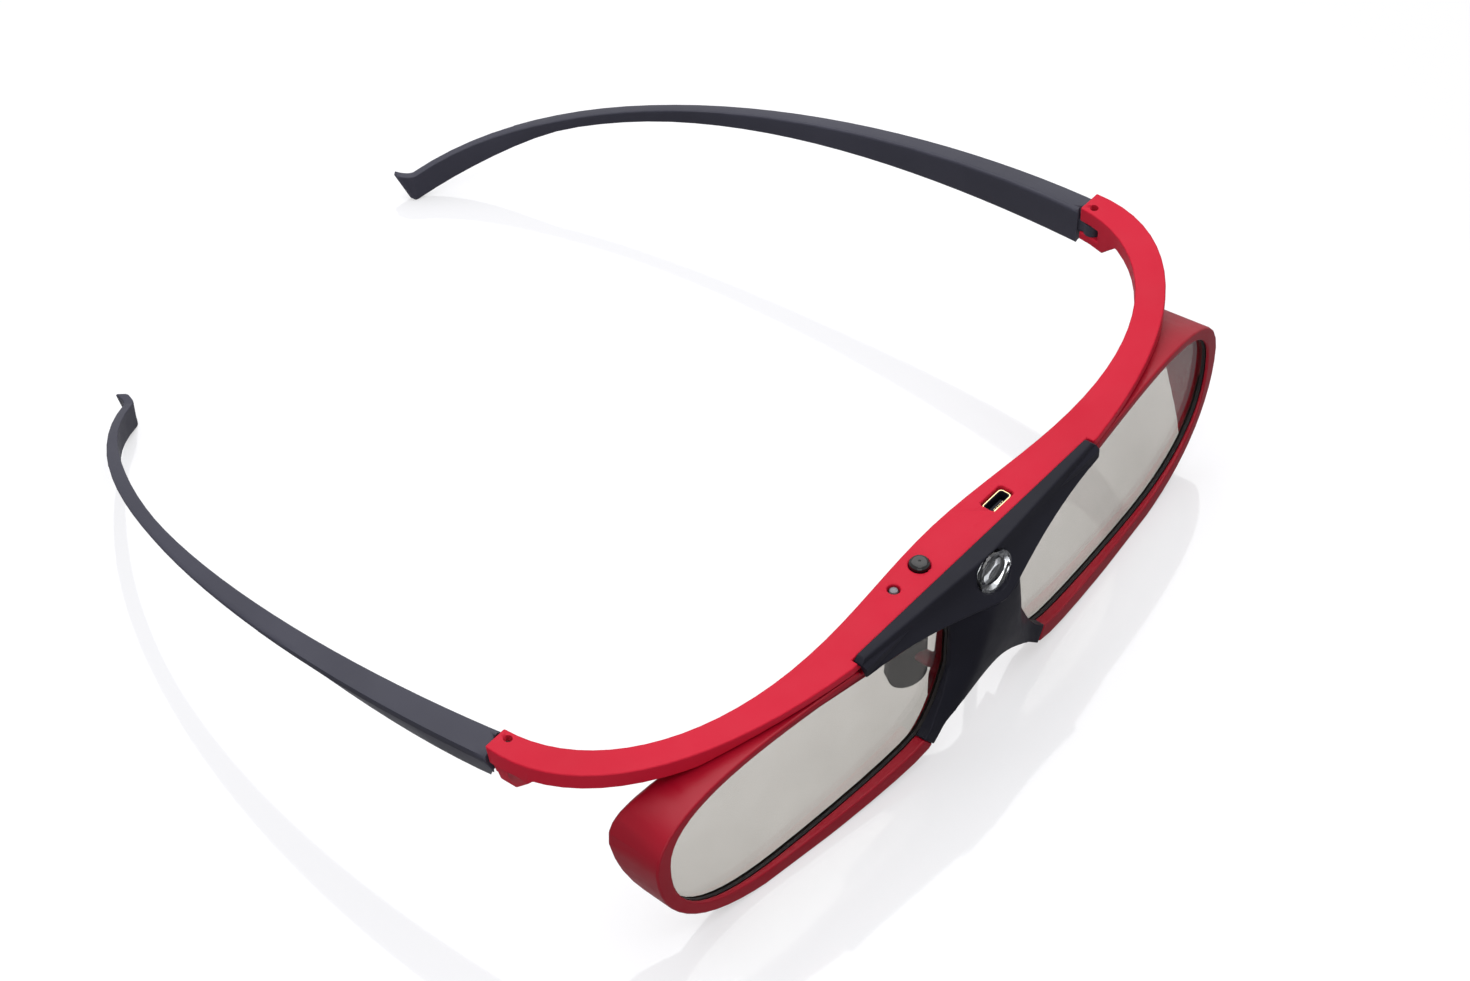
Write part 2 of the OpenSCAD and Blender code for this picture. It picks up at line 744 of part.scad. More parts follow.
module bridge_trim() {
    color(black) placed() difference() {
        intersection() {
            front_prism(trim_pts, -far, bow_back);
            union() {
                loft(bow_rings);
                loft(saddle_rings);
            }
        }
        block([-far, trim_wall_y, -1], [far, 0, trim_top - flange_t]);
        both() lens_plate(
            [[back_x, -4], [back_x, trim_top - flange_t], [far, trim_top - flange_t], [far, -4]],
            trim_back, far / 2
        );
        at_window() {
            translate([0, 0, -window_t]) linear_extrude(far)
                polygon(ellipse(window_w + 0.2, window_h + 0.2, 40));
            translate([0, 0, -far]) linear_extrude(far)
                polygon(ellipse(window_w - 2 * window_ledge, window_h - 2 * window_ledge, 32));
        }
    }
}

// A solid through a row of rings, each with as many points as the next
module loft(rings) {
    n = len(rings[0]);
    last = len(rings) - 1;
    sides = [
        for (i = [0 : last - 1]) for (j = [0 : n - 1])
            let (a = i * n + j, b = i * n + (j + 1) % n)
            each [[a, a + n, b], [b, a + n, b + n]]
    ];
    first = [for (j = [0 : n - 1]) j];
    end = [for (j = [n - 1 : -1 : 0]) last * n + j];
    polyhedron(points = [for (r = rings) each r], faces = concat([first], sides, [end]), convexity = 8);
}

// On the sloping face of the trim, with z pointing out of it
module at_window() {
    translate([0, window_y, window_z])
        rotate([90 - window_lean, 0, 0]) children();
}

module ir_window() {
    color([0.75, 0.78, 0.82]) placed() at_window()
        translate([0, 0, touch - window_t])
            linear_extrude(window_t + window_proud) polygon(ellipse(window_w, window_h, 40));
}

module ir_receiver() {
    front = trim_wall_y - 0.1;
    back = front + 1.8;
    low = receiver_low;
    color(black) placed() {
        block([-receiver_half, front, low], [receiver_half, back, low + receiver_h]);
        translate([0, front, low + 1.6]) rotate([90, 0, 0]) cylinder(r1 = 1.1, r2 = 0.6, h = 0.6);
        for (s = [-1, 0, 1]) block([s - 0.2, back - eps, low + 0.1], [s + 0.2, cave_front + 0.1, low + 0.5]);
    }
}

module lens() {
    color([0.62, 0.63, 0.58, 0.5]) lens_plate(grown(lens_pts, lens_lap), lens_front, lens_back);
}

module lens_gasket() {
    color(black) difference() {
        lens_plate(grown(lens_pts, lens_lap), lip_t + touch, lens_front - touch);
        lens_plate(lens_pts, 0, lens_back);
    }
}

// On the back of the left nose pad, with y pointing to the nose
module pad_frame() {
    translate(pad_place) rotate([0, 0, pad_turn]) children();
}

module nose_pad() {
    color(charcoal) pad_frame()
        translate([0, touch, 0])
            rotate([-90, 90, 0])
                linear_extrude(pad_t) stadium(pad_len, pad_w);
}

module power_button() {
    color(black) placed() translate([button_x, cave_y, 0]) {
        translate([0, 0, collar_low]) cylinder(d = button_d, h = top_z + button_proud - collar_low);
        block([-button_d / 2 - collar_edge, -collar_half, collar_low],
            [button_d / 2 + collar_edge, collar_half, collar_top]);
    }
}

module tact_switch() {
    top = collar_low - button_travel - slide_gap;
    color(steel) placed() translate([button_x, cave_y, 0]) {
        block([-1.6, -switch_half, board_top], [1.6, switch_half, top - 0.6]);
        translate([0, 0, board_top]) cylinder(r = 0.7, h = top - board_top);
    }
}

module light_pipe() {
    color([0.8, 0.82, 0.84]) placed() translate([light_x, cave_y, board_top + 0.9])
        cylinder(d = light_d, h = top_z - board_top - 0.9);
}

module status_led() {
    color([0.9, 0.9, 0.85]) placed()
        block([light_x - 0.8, cave_y - 0.5, board_top], [light_x + 0.8, cave_y + 0.5, board_top + 0.6]);
}

module socket_shell() {
    color(gold) placed() translate([port_x, port_y, board_top]) difference() {
        linear_extrude(top_z - shell_sunk - board_top) rounded(shell_w, shell_d, shell_round);
        translate([0, 0, -1]) linear_extrude(far)
            rounded(shell_w - 2 * shell_wall, shell_d - 2 * shell_wall, shell_round - shell_wall);
    }
}

module socket_tongue() {
    color(black) placed() translate([port_x, port_y, 0])
        block([-tongue_w / 2, -tongue_d / 2, board_top],
            [tongue_w / 2, tongue_d / 2, top_z - shell_sunk - tongue_sunk]);
}

module socket_contacts() {
    color(gold) placed() for (i = [-2 : 2])
        translate([port_x + i * tongue_w / 5.5, port_y - tongue_d / 2 - contact_t, board_top])
            cube([contact_w, contact_t, top_z - shell_sunk - tongue_sunk - 0.2 - board_top]);
}

module main_board() {
    color([0.1, 0.35, 0.2]) placed()
        block([-board_half, cave_y - board_w / 2, board_top - board_t],
            [board_half, cave_y + board_w / 2, board_top]);
}

module battery() {
    color([0.75, 0.76, 0.8]) placed()
        block([-cell_half, cave_y - cell_w / 2, floor_top],
            [cell_half, cave_y + cell_w / 2, board_top - board_t - cell_room]);
}

module battery_leads() {
    r = 0.3;
    z = floor_top + 1.2;
    color(red) placed() for (s = [-1, 1]) translate([cell_half, cave_y + s, 0]) {
        translate([0, 0, z]) rotate([0, 90, 0]) cylinder(r = r, h = 1);
        translate([1, 0, z]) sphere(r = r);
        translate([1, 0, z]) cylinder(r = r, h = board_top - board_t - z);
    }
}

module lens_lead() {
    low_x = lead_x - lead_w / 2;
    color([0.8, 0.6, 0.2]) {
        intersection() {
            lens_plate([[low_x, 0], [low_x, far], [low_x + 2 * lead_w, far], [low_x + 2 * lead_w, 0]],
                rim_depth + touch, rim_depth + touch + lead_t);
            block([low_x, -far, board_top - lead_drop], [low_x + lead_w, 0, board_top + lead_t]);
        }
        difference() {
            block([low_x, box_front - 2, board_top], [low_x + lead_w, cave_front + 0.6, board_top + lead_t]);
            lens_plate([[0, 0], [0, far], [far, far], [far, 0]], -far, rim_depth + touch);
        }
    }
}

module housing_screws() {
    low = floor_top - floor_t;
    color(steel) placed() both() translate([boss_x, cave_y, low]) {
        cylinder(r = head_r, h = head_h);
        cylinder(r = screw_r, h = floor_t + screw_grip);
    }
}

front_frame();
brow_housing();
bridge_trim();
ir_window();
ir_receiver();
left_side() lens();  // left_lens
right_side() lens();  // right_lens
left_side() lens_gasket();  // left_lens_gasket
right_side() lens_gasket();  // right_lens_gasket
left_side() nose_pad();  // left_nose_pad
right_side() nose_pad();  // right_nose_pad
power_button();
tact_switch();
light_pipe();
status_led();
socket_shell();
socket_tongue();
socket_contacts();
main_board();
battery();
battery_leads();
left_side() lens_lead();  // left_lens_lead
right_side() lens_lead();  // right_lens_lead
housing_screws();
left_side() hinge_pin();  // left_hinge_pin
right_side() hinge_pin();  // right_hinge_pin
left_side() temple();  // left_temple
right_side() temple();  // right_temple
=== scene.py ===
import bpy
import bmesh
import json
from math import radians, sin, cos, pi
from mathutils import Vector, Matrix


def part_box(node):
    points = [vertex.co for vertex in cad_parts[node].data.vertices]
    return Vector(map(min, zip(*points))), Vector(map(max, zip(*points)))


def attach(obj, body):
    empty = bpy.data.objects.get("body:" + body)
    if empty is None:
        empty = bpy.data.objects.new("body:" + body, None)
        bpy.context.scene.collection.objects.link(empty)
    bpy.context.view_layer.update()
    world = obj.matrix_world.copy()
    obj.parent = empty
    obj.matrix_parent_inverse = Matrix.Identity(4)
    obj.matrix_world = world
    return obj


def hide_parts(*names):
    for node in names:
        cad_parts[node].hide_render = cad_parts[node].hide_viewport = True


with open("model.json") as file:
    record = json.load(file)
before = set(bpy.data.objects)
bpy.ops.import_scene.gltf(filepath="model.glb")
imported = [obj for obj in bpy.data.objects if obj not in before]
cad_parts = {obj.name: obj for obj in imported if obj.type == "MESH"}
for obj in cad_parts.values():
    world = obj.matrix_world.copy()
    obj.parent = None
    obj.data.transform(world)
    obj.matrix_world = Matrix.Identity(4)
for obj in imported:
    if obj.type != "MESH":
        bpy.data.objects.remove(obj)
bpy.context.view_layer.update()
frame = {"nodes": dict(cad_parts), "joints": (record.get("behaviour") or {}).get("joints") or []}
nodes = frame["nodes"]
mm = 0.001
pinY = frame["joints"][0]["pos_m"][1]   # the hinge pins' line, every depth below counts from it
hingeX = 80 * mm
scene = bpy.context.scene
print("frame loaded:", len(nodes), "nodes")


def toLinear(hexColour):
    parts = [int(hexColour[i:i + 2], 16) / 255 for i in (1, 3, 5)]
    return [p / 12.92 if p <= 0.04045 else ((p + 0.055) / 1.055) ** 2.4 for p in parts] + [1.0]


# one node with its settings; a tuple (node, output) as an input value makes a link
def addNode(tree, kind, inputs=None, **settings):
    node = tree.nodes.new(kind)
    for key, value in settings.items():
        setattr(node, key, value)
    for key, value in (inputs or {}).items():
        if isinstance(value, tuple) and hasattr(value[0], "outputs"):
            tree.links.new(value[0].outputs[value[1]], node.inputs[key])
        else:
            node.inputs[key].default_value = value
    return node


def newMaterial(name):
    mat = bpy.data.materials.new(name)
    mat.use_nodes = True
    mat.node_tree.nodes.clear()
    return mat, mat.node_tree


# a noise with features about sizeMm wide
def noiseOf(tree, vector, sizeMm, detail, **more):
    return addNode(tree, "ShaderNodeTexNoise", {
        "Vector": vector, "Scale": 1 / (sizeMm * mm), "Detail": detail, **more})


toneSpan = (0.3, 0.7)   # the noise values that give the dark and the light tone


def twoTone(tree, noise, look):
    node = addNode(tree, "ShaderNodeValToRGB", {"Fac": (noise, "Fac")})
    for i, tone in enumerate((look["dark"], look["light"])):
        spot = node.color_ramp.elements[i]
        spot.position, spot.color = toneSpan[i], toLinear(tone)
    return node


# ABS and nylon mouldings: spark-eroded grain, slow drift in the colour, a few dull handling marks
moulding = dict(driftDetail=3.0, grainDetail=2.0, rubDetail=5.0, rubCoarse=0.6, rubLow=0.35, rubHigh=0.7,
                polish=-0.05, wear=0.06, reliefMm=0.02)


def mouldedPlastic(name, look):
    mat, tree = newMaterial(name)
    place = (addNode(tree, "ShaderNodeTexCoord"), "Object")
    drift = noiseOf(tree, place, look["driftMm"], moulding["driftDetail"])
    tone = twoTone(tree, drift, look)
    grain = noiseOf(tree, place, look["grainMm"], moulding["grainDetail"])
    rub = noiseOf(tree, place, look["rubMm"], moulding["rubDetail"], Roughness=moulding["rubCoarse"])
    gloss = addNode(tree, "ShaderNodeMapRange", {
        "Value": (rub, "Fac"), "From Min": moulding["rubLow"], "From Max": moulding["rubHigh"],
        "To Min": look["rough"] + moulding["polish"], "To Max": look["rough"] + moulding["wear"]})
    bump = addNode(tree, "ShaderNodeBump", {
        "Height": (grain, "Fac"), "Strength": look["grain"], "Distance": moulding["reliefMm"] * mm})
    skin = addNode(tree, "ShaderNodeBsdfPrincipled", {
        "Base Color": (tone, "Color"), "Roughness": (gloss, "Result"), "Normal": (bump, "Normal"),
        "IOR": look["ior"], "Specular IOR Level": look["shine"]})
    addNode(tree, "ShaderNodeOutputMaterial", {"Surface": (skin, "BSDF")})
    return mat


# grain of 0.12 mm is drawn at 0.3 mm so that it shows at this distance
# brow housing: an even, matt red without mirror lights
redAbs = mouldedPlastic("redAbsSparkEroded", dict(
    dark="#BE1A31", light="#C81F38", driftMm=30, grainMm=0.3, grain=0.12, rubMm=6,
    rough=0.46, ior=1.53, shine=0.11))
# lens rims: a deeper red with a soft sheen where the edges turn
crimsonAbs = mouldedPlastic("crimsonAbsSatinMoulded", dict(
    dark="#93061F", light="#A20924", driftMm=25, grainMm=0.3, grain=0.08, rubMm=8,
    rough=0.36, ior=1.53, shine=0.22))
# bridge trim: near black, with a faint satin light on the bow
blackAbs = mouldedPlastic("blackAbsSatinMoulded", dict(
    dark="#1B1B23", light="#21212A", driftMm=20, grainMm=0.3, grain=0.1, rubMm=6,
    rough=0.36, ior=1.53, shine=0.07))
# temples: a blue-tinged dark grey, clearly lighter than the trim
charcoalNylon = mouldedPlastic("charcoalNylonMoulded", dict(
    dark="#363641", light="#3E3E4A", driftMm=24, grainMm=0.35, grain=0.15, rubMm=9,
    rough=0.42, ior=1.52, shine=0.18))
# nose pads and gaskets: a dull black with broad, weak lights
softRubber = mouldedPlastic("blackSiliconeMoulded", dict(
    dark="#1D1B1C", light="#262324", driftMm=6, grainMm=0.25, grain=0.08, rubMm=3,
    rough=0.55, ior=1.43, shine=0.3))
# power button: a polished black that mirrors the lamp
buttonAbs = mouldedPlastic("blackAbsPolished", dict(
    dark="#08080A", light="#0D0D10", driftMm=3, grainMm=0.3, grain=0.02, rubMm=2,
    rough=0.1, ior=1.53, shine=0.35))
# main board: green lacquer over copper, seen only inside
boardGreen = mouldedPlastic("boardSolderResist", dict(
    dark="#174A2C", light="#1F6038", driftMm=3, grainMm=0.4, grain=0.2, rubMm=2,
    rough=0.35, ior=1.5, shine=0.5))
# lens leads: amber film
leadFilm = mouldedPlastic("polyimideFilm", dict(
    dark="#A8701C", light="#C8922F", driftMm=4, grainMm=0.4, grain=0.05, rubMm=3,
    rough=0.3, ior=1.6, shine=0.5))
# light pipe: smoked, so it is a grey dot while the light is off
pipePc = mouldedPlastic("smokedPolycarbonateMoulded", dict(
    dark="#67656C", light="#77757C", driftMm=1, grainMm=0.3, grain=0.03, rubMm=1,
    rough=0.25, ior=1.58, shine=0.4))


# turned steel, gold plate and cell foil: metal with fine drawn marks along the part
drawing = dict(stretch=(1.0, 1.0, 0.12), markDetail=4.0, polish=-0.06, wear=0.08)


def drawnMetal(name, look):
    mat, tree = newMaterial(name)
    place = addNode(tree, "ShaderNodeTexCoord")
    turn = addNode(tree, "ShaderNodeMapping", {"Vector": (place, "Object"), "Scale": drawing["stretch"]})
    marks = noiseOf(tree, (turn, "Vector"), look["markMm"], drawing["markDetail"])
    tone = twoTone(tree, marks, look)
    gloss = addNode(tree, "ShaderNodeMapRange", {
        "Value": (marks, "Fac"),
        "To Min": look["rough"] + drawing["polish"], "To Max": look["rough"] + drawing["wear"]})
    skin = addNode(tree, "ShaderNodeBsdfPrincipled", {
        "Base Color": (tone, "Color"), "Roughness": (gloss, "Result"), "Metallic": 1.0})
    addNode(tree, "ShaderNodeOutputMaterial", {"Surface": (skin, "BSDF")})
    return mat


# pins, screws and switch: plain grey metal; socket: a pale gold rim; battery: dull silver
turnedSteel = drawnMetal("turnedSteel", dict(dark="#8E8F92", light="#B7B8BB", markMm=0.2, rough=0.3))
goldPlate = drawnMetal("goldPlatedSteel", dict(dark="#CDB377", light="#EBDDB4", markMm=0.3, rough=0.25))
cellFoil = drawnMetal("cellFoil", dict(dark="#A9ABB2", light="#C9CBD0", markMm=0.8, rough=0.35))


# shutter lens: a liquid crystal laminate between polarisers, a neutral grey with a warm cast; the cut edge is
# coated black, and a dark band along the bottom and the nose is painted shade; both are marked on the faces by a
# face attribute that the shader reads
def shutterGlass(look):
    mat, tree = newMaterial("shutterLaminatePolished")
    place = (addNode(tree, "ShaderNodeTexCoord"), "Object")
    haze = noiseOf(tree, place, look["hazeMm"], look["hazeDetail"])
    tone = twoTone(tree, haze, look)
    clear = addNode(tree, "ShaderNodeBsdfPrincipled", {
        "Base Color": (tone, "Color"), "Roughness": look["rough"], "IOR": look["ior"],
        "Transmission Weight": 1.0})
    # the dark coat: the real black of the cut edge, and painted shade in the band along the bottom and the nose
    seal = addNode(tree, "ShaderNodeBsdfPrincipled", {
        "Base Color": toLinear(look["seal"]), "Roughness": look["sealRough"], "IOR": look["ior"],
        "Specular IOR Level": look["sealShine"]})
    sealed = addNode(tree, "ShaderNodeAttribute", attribute_name="sealed")
    skin = addNode(tree, "ShaderNodeMixShader", {0: (sealed, "Fac"), 1: (clear, "BSDF"), 2: (seal, "BSDF")})
    addNode(tree, "ShaderNodeOutputMaterial", {"Surface": (skin, "Shader")})
    return mat


# polished polycarbonate of the infrared window: clear, with faint streaks in its gloss
def clearPolycarbonate(name, look):
    mat, tree = newMaterial(name)
    place = (addNode(tree, "ShaderNodeTexCoord"), "Object")
    streak = noiseOf(tree, place, look["streakMm"], look["streakDetail"])
    gloss = addNode(tree, "ShaderNodeMapRange", {
        "Value": (streak, "Fac"), "To Min": look["rough"], "To Max": look["rough"] + look["wear"]})
    skin = addNode(tree, "ShaderNodeBsdfPrincipled", {
        "Base Color": toLinear(look["tint"]), "Roughness": (gloss, "Result"), "IOR": look["ior"],
        "Transmission Weight": 1.0})
    addNode(tree, "ShaderNodeOutputMaterial", {"Surface": (skin, "BSDF")})
    return mat


# lens tint, and the dark coat that blackens the cut edge and paints shade in a band along the bottom and the nose
lensGlass = shutterGlass(dict(
    dark="#BFBCB5", light="#C6C3BC", hazeMm=14, hazeDetail=2.0, rough=0.02, ior=1.5,
    seal="#26140F", sealRough=0.15, sealShine=0.2))
windowPc = clearPolycarbonate("clearPolycarbonateMoulded", dict(
    tint="#D9DCE0", streakMm=1.5, streakDetail=2.0, rough=0.03, wear=0.06, ior=1.58))
print("materials ready")


def finishPiece(bm, name, material, body, replaced, sharpAngle=35):
    mesh = bpy.data.meshes.new(name)
    bm.to_mesh(mesh)
    bm.free()
    mesh.shade_smooth()
    mesh.set_sharp_from_angle(angle=radians(sharpAngle))
    mesh.materials.clear()
    mesh.materials.append(material)
    piece = bpy.data.objects.new(name, mesh)
    scene.collection.objects.link(piece)
    # flat faces stay flat beside their rounded edges
    even = piece.modifiers.new("evenShading", "WEIGHTED_NORMAL")
    even.weight, even.keep_sharp = 50, True
    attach(piece, body)
    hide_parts(*replaced)
    return piece


seam = dict(weldMm=0.002, flatDeg=0.4, speckMm=0.01)


# a copy of a node's solid with its seams closed and flat faces made whole
def solidOf(node, mergeMm=seam["weldMm"]):
    bm = bmesh.new()
    bm.from_mesh(nodes[node].data)
    bmesh.ops.remove_doubles(bm, verts=bm.verts, dist=mergeMm * mm)
    bmesh.ops.dissolve_limit(bm, angle_limit=radians(seam["flatDeg"]), verts=bm.verts, edges=bm.edges)
    return bm


def roundEdges(bm, edges, roundMm, segments=3):
    bmesh.ops.bevel(bm, geom=edges, offset=roundMm * mm, offset_type="OFFSET", segments=segments, profile=0.5,
                    affect="EDGES", material=-1, clamp_overlap=False)


# zones whose edges are too short to round, so they stay square: the spans of x to either side, of depth from
# the pins and of height, in mm, and whether all or any of an edge's ends lie there
far = 500
pinReach = 1.3
squareZones = {
    "slotMouth": dict(ends=all, spans=[(82.2, far), (-2.4, far), (29.4, 32.1)]),
    "behindSaddle": dict(ends=any, spans=[(-far, 15.5), (-34.6, far), (-far, 12)]),
    "bowEnd": dict(ends=any, spans=[(31.7, 32.5), (-far, -34.4), (32, 33.1)]),
    "besideNose": dict(ends=all, spans=[(8.3, 8.9), (-far, far), (-far, far)]),
}


def isInside(vert, spans):
    place = (abs(vert.co.x), vert.co.y - pinY, vert.co.z)
    return all(low * mm < p < high * mm for p, (low, high) in zip(place, spans))


def isAtPin(vert):
    return (Vector((abs(vert.co.x), vert.co.y)) - Vector((hingeX, pinY))).length < pinReach * mm


def staysSquare(edge):
    inZone = any(zone["ends"](isInside(v, zone["spans"]) for v in edge.verts) for zone in squareZones.values())
    return inZone or all(isAtPin(v) for v in edge.verts)


# a small closing form from its corner points, in mm, depth counted from the pins; made on both sides
def addCaps(bm, corners):
    for side in (-1, 1):
        made = [bm.verts.new((side * x * mm, pinY + y * mm, z * mm)) for x, y, z in corners]
        grown = bmesh.ops.convex_hull(bm, input=made)["geom"]
        bmesh.ops.recalc_face_normals(bm, faces=[g for g in grown if isinstance(g, bmesh.types.BMFace)])


# the saddle's feet come forward to lie flush with the rims, whose front slopes with x, and close on them
def flushFeet(bm, foot):
    across, down = foot["lean"]
    for v in bm.verts:
        away = foot["plane"] - (across * abs(v.co.x) - down * v.co.z) / mm
        if away > foot["run"]:
            continue
        share = 1 - away / foot["run"]
        share = share * share * (3 - 2 * share)
        front = pinY + (foot["front"] + foot["slope"] * (abs(v.co.x) / mm - foot["slopeFrom"])) * mm
        if v.co.y < pinY + foot["back"] * mm and v.co.y > front:
            v.co.y += share * (front - v.co.y)
        if away < foot["touch"]:
            v.co.x += foot["close"] * across * mm * (1 if v.co.x > 0 else -1)
            v.co.z -= foot["close"] * down * mm


# mouldings whose solids have square edges: each edge over the angle gets its mould radius
temple = dict(material=charcoalNylon, slot="charcoal_plastic", roundMm=0.2, angle=60, shortMm=0.4)
nosePad = dict(body="frame", material=softRubber, slot="black_rubber", roundMm=0.7, angle=50, shortMm=0)
shells = {
    "browHousing": dict(
        node="brow_housing", body="frame", material=redAbs, slot="red_plastic",
        roundMm=0.3, angle=40, shortMm=0.05,
        # the outer cheek that closes the hinge slot
        caps=[(82.99, 1.0, 32.0), (82.99, -2.2, 32.0), (82.57, -2.2, 29.5), (82.57, 0.25, 29.5),
              (82.4, 1.0, 32.0), (82.4, -2.2, 32.0), (82.4, -2.2, 29.5), (82.4, 0.25, 29.5)]),
    "frontFrame": dict(
        node="front_frame", body="frame", material=crimsonAbs, slot="crimson_plastic",
        roundMm=0.4, angle=50, shortMm=0.1),
    "bridgeTrim": dict(
        node="bridge_trim", body="frame", material=blackAbs, slot="black_plastic",
        roundMm=0.16, angle=32, shortMm=0.25, mergeMm=0.1,
        foot=dict(plane=8.64, lean=(0.75, 0.66), run=6.0, front=-36.7, slope=0.16, slopeFrom=14.9, back=-34.8,
                  touch=0.06, close=0.15),
        # the cover over the wedge where the front frame would show at the bow's end
        caps=[(32.2, -34.81, 32.5), (32.3, -34.74, 34.15), (32.36, -33.97, 34.72),
              (32.2, -34.51, 32.5), (32.25, -34.51, 34.12), (32.3, -33.5, 34.3),
              (18, -34.81, 32.5), (18, -34.74, 34.15), (18, -33.97, 34.72),
              (18, -34.51, 32.5), (18, -34.51, 34.12), (18, -33.5, 34.3)]),
    "leftTemple": dict(temple, node="left_temple", body="left_temple"),
    "rightTemple": dict(temple, node="right_temple", body="right_temple"),
    "leftNosePad": dict(nosePad, node="left_nose_pad"),
    "rightNosePad": dict(nosePad, node="right_nose_pad"),
    "socketShell": dict(
        node="socket_shell", body="frame", material=goldPlate, slot="gold_plate",
        roundMm=0.06, angle=50, shortMm=0),
}
for name, look in shells.items():
    bm = solidOf(look["node"], look.get("mergeMm", seam["weldMm"]))
    if "foot" in look:
        flushFeet(bm, look["foot"])
    sharp = [e for e in bm.edges if len(e.link_faces) == 2 and e.calc_face_angle(0.0) > radians(look["angle"])
             and e.calc_length() > look["shortMm"] * mm and not staysSquare(e)]
    roundEdges(bm, sharp, look["roundMm"])
    manySided = [f for f in bm.faces if len(f.verts) > 4]
    bmesh.ops.triangulate(bm, faces=manySided, quad_method="BEAUTY", ngon_method="BEAUTY")
    bmesh.ops.dissolve_degenerate(bm, dist=seam["speckMm"] * mm, edges=bm.edges)
    if "caps" in look:
        addCaps(bm, look["caps"])
    finishPiece(bm, name, look["material"], look["body"], [look["node"]])
    print(name, "rounded,", len(sharp), "edges")


# shutter lenses: the solid with a black cut edge, and a band along the bottom and the nose coloured dark as
# painted shade
lens = dict(shadeBandWidth=0.6, lowShare=0.45, noseMm=15)
for side in ("left", "right"):
    bm = solidOf(side + "_lens")
    sealed = bm.faces.layers.float.new("sealed")
    flat = sorted(bm.faces, key=lambda f: f.calc_area())[-2:]
    for f in bm.faces:
        f[sealed] = 0.0 if f in flat else 1.0
    low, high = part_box(side + "_lens")
    limit = low[2] + lens["lowShare"] * (high[2] - low[2])
    shadeBands = bmesh.ops.inset_region(bm, faces=flat, thickness=lens["shadeBandWidth"] * mm, use_even_offset=True)["faces"]
    for f in shadeBands:
        # bands low on the lens and beside the nose take the dark coat: painted shade under the rim's lip and
        # along the nose wall
        spot = f.calc_center_median()
        f[sealed] = 1.0 if spot.z < limit or abs(spot.x) < lens["noseMm"] * mm else 0.0
    finishPiece(bm, side + "Lens", lensGlass, "frame", [side + "_lens"])
print("lenses sealed")


# a turned piece: its half profile in mm, radius and height, spun about an upright axis
def turned(profile, centre, steps=48):
    bm = bmesh.new()
    row = [bm.verts.new((centre[0] + r * mm, centre[1], z * mm)) for r, z in profile]
    edges = [bm.edges.new(pair) for pair in zip(row, row[1:])]
    bmesh.ops.spin(bm, geom=row + edges, cent=(centre[0], centre[1], 0), axis=(0, 0, 1), dvec=(0, 0, 0),
                   angle=2 * pi, steps=steps, use_merge=True, use_duplicate=False)
    bmesh.ops.remove_doubles(bm, verts=bm.verts, dist=0.001 * mm)
    bmesh.ops.recalc_face_normals(bm, faces=bm.faces)
    return bm


def middleOf(node):
    low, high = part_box(node)
    return [(a + b) / 2 for a, b in zip(low, high)]


# push button: a flat polished cap with a finger dimple and a rounded rim
# status light: a domed pipe that stands free in its hole, on a wider foot
turnedPieces = {
    "powerButton": dict(
        node="power_button", body="button", material=buttonAbs, slot="black_plastic",
        profile=[(0, 35.8), (0.1, 35.82), (0.17, 35.92), (0.24, 35.97), (0.9, 35.99), (1.25, 35.97), (1.4, 35.9),
                 (1.48, 35.78), (1.6, 35.68), (1.72, 35.56), (1.79, 35.36), (1.8, 35.1), (1.8, 33.6), (0, 33.6)]),
    "lightPipe": dict(
        node="light_pipe", body="frame", material=pipePc, slot="clear_plastic",
        profile=[(0, 34.9), (0.4, 34.87), (0.66, 34.76), (0.78, 34.55), (0.8, 34.2), (0.8, 33.7), (1.04, 33.6),
                 (1.04, 31.8), (0, 31.8)]),
}
for name, look in turnedPieces.items():
    bm = turned(look["profile"], middleOf(look["node"]))
    finishPiece(bm, name, look["material"], look["body"], [look["node"]], sharpAngle=30)
print("button and status light turned")


# a flat rounded plate, corners by a vertex bevel, at a height
def roundPlate(centre, width, depth, corner, height):
    bm = bmesh.new()
    bmesh.ops.create_grid(bm, x_segments=1, y_segments=1, size=0.5)
    bmesh.ops.scale(bm, vec=(width * mm, depth * mm, 1), verts=bm.verts)
    bmesh.ops.translate(bm, vec=(centre[0], centre[1], height * mm), verts=bm.verts)
    bmesh.ops.bevel(bm, geom=bm.verts[:], offset=corner * mm, offset_type="OFFSET", segments=6, profile=0.5,
                    affect="VERTICES", material=-1, clamp_overlap=True)
    return bm


# the old face stays as the bottom of an open plate, and goes where it would be a lid inside
def pulled(bm, face, rise, lid=False):
    grown = bmesh.ops.extrude_face_region(bm, geom=[face])["geom"]
    lifted = [g for g in grown if isinstance(g, bmesh.types.BMVert)]
    bmesh.ops.translate(bm, vec=(0, 0, rise * mm), verts=lifted)
    if lid and face.is_valid:
        bmesh.ops.delete(bm, geom=[face], context="FACES_ONLY")
    return next(g for g in grown if isinstance(g, bmesh.types.BMFace))


# black insulator of the charging socket: a floor and the tongue, and a thin liner over the shell's metal inner
# walls that paints the shade inside the socket
socket = dict(width=5.07, depth=1.97, corner=0.5, low=30.92, top=34.38, wall=0.14, floorDrop=2.1,
              tongueWidth=3.1, tongueDepth=0.5, tongueCorner=0.12, tongueSunk=0.3, tongueRise=1.4)
centre = middleOf("socket_shell")
bm = roundPlate(centre, socket["width"], socket["depth"], socket["corner"], socket["low"])
top = pulled(bm, bm.faces[:][0], socket["top"] - socket["low"])
